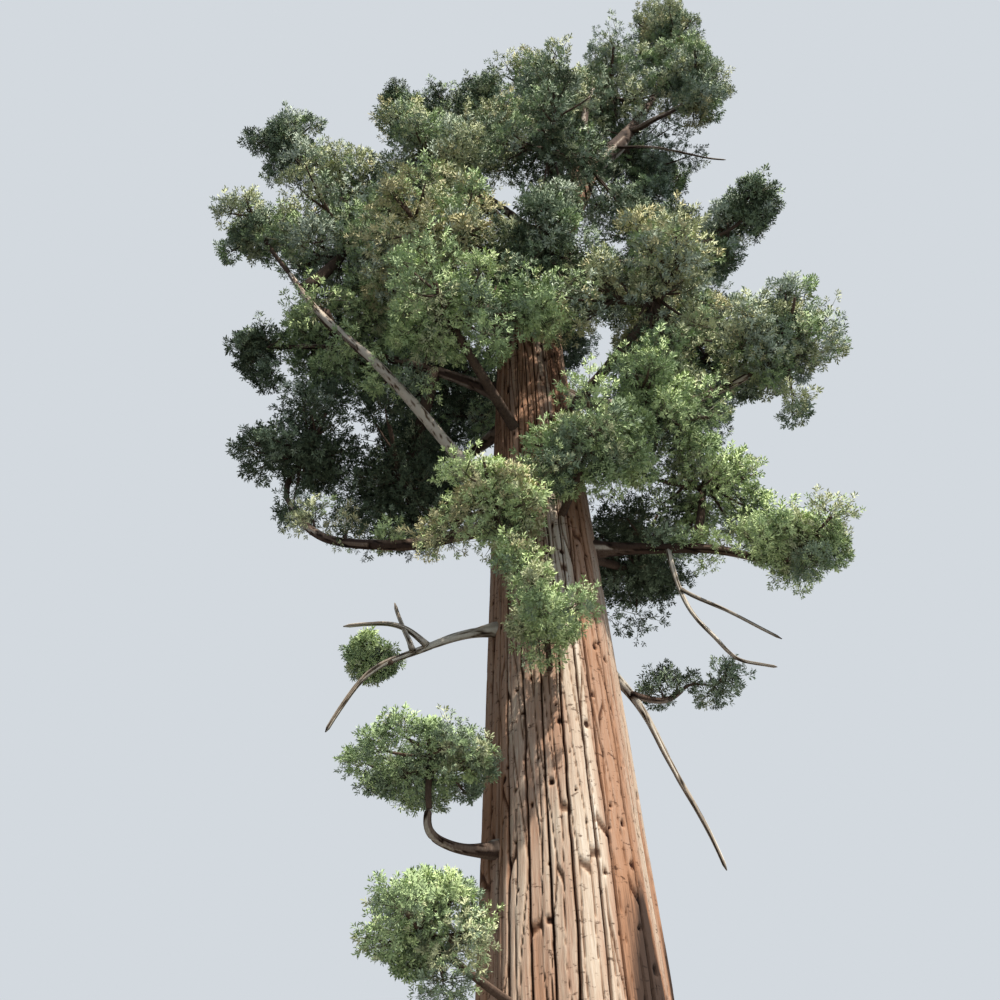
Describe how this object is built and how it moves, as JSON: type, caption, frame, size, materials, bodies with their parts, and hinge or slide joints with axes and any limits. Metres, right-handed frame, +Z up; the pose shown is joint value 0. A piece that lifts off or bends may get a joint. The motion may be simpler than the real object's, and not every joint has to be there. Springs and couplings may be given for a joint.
{
  "type": "giant sequoia tree",
  "caption": "Tall conifer with a fluted tapering red-brown trunk, high forked crown of rounded foliage masses on ascending boughs, and dead low limbs.",
  "frame": {"origin": "middle of the flat cut of the trunk at ground level", "axes": "+Z up along the lower trunk; +X to the right as seen from the pictured side, the way the crown shaft bends; -Y faces the viewer"},
  "size_m": [14.3177, 11.1337, 40],
  "materials": {
    "bark": "thick fibrous furrowed bark, matte",
    "dead_wood": "weathered bare wood, matte",
    "leaf_dark": "dark green scale-leaf sprays, matte",
    "leaf_green": "mid green scale-leaf sprays, matte",
    "leaf_olive": "olive green scale-leaf sprays, matte",
    "leaf_gold": "yellow-olive scale-leaf sprays, matte"
  },
  "bodies": {
    "root": {"trunk": "bark", "limb_spire": "bark", "limb_right_tip": "bark", "limb_crest": "bark", "limb_left_crest": "bark", "limb_left_tip": "bark", "limb_plume": "bark", "bough_left_big": "bark", "bough_dark_tip": "bark", "bough_left_mid": "bark", "dead_left": "dead_wood", "bough_right_big": "bark", "dead_hang": "dead_wood", "bough_right_low": "dead_wood", "twig_right_low": "bark", "bough_right_thin": "bark", "bough_right_up": "bark", "bough_low": "bark", "bough_back_left": "bark", "bough_back_mid": "bark", "bough_back_up": "bark", "top_spire": "leaf_olive", "top_right": "leaf_olive", "top_crest": "leaf_olive", "top_left_crest": "leaf_olive", "top_left_tip": "leaf_dark", "knob_left": "leaf_dark", "top_heart_right": "leaf_dark", "top_heart_left": "leaf_dark", "shoulder_left": "leaf_olive", "front_heart": "leaf_dark", "plume_left": "leaf_dark", "arm_left_up": "leaf_olive", "tip_left": "leaf_olive", "fan_left": "leaf_olive", "gold_left": "leaf_gold", "under_left": "leaf_green", "green_left": "leaf_green", "dark_tip": "leaf_dark", "dark_left_out": "leaf_dark", "dark_left_in": "leaf_dark", "front_left": "leaf_green", "front_right": "leaf_green", "front_low": "leaf_green", "right_green": "leaf_green", "right_olive": "leaf_gold", "right_thin": "leaf_dark", "right_out": "leaf_olive", "right_heart": "leaf_dark", "right_low": "leaf_green", "right_arm": "leaf_green", "right_shade": "leaf_dark", "right_twig": "leaf_dark", "low_twig": "leaf_green", "low_dome": "leaf_green", "low_bush": "leaf_green", "back_left": "leaf_dark", "back_mid": "leaf_dark", "back_up": "leaf_dark", "back_right": "leaf_dark"}
  },
  "joints": []
}
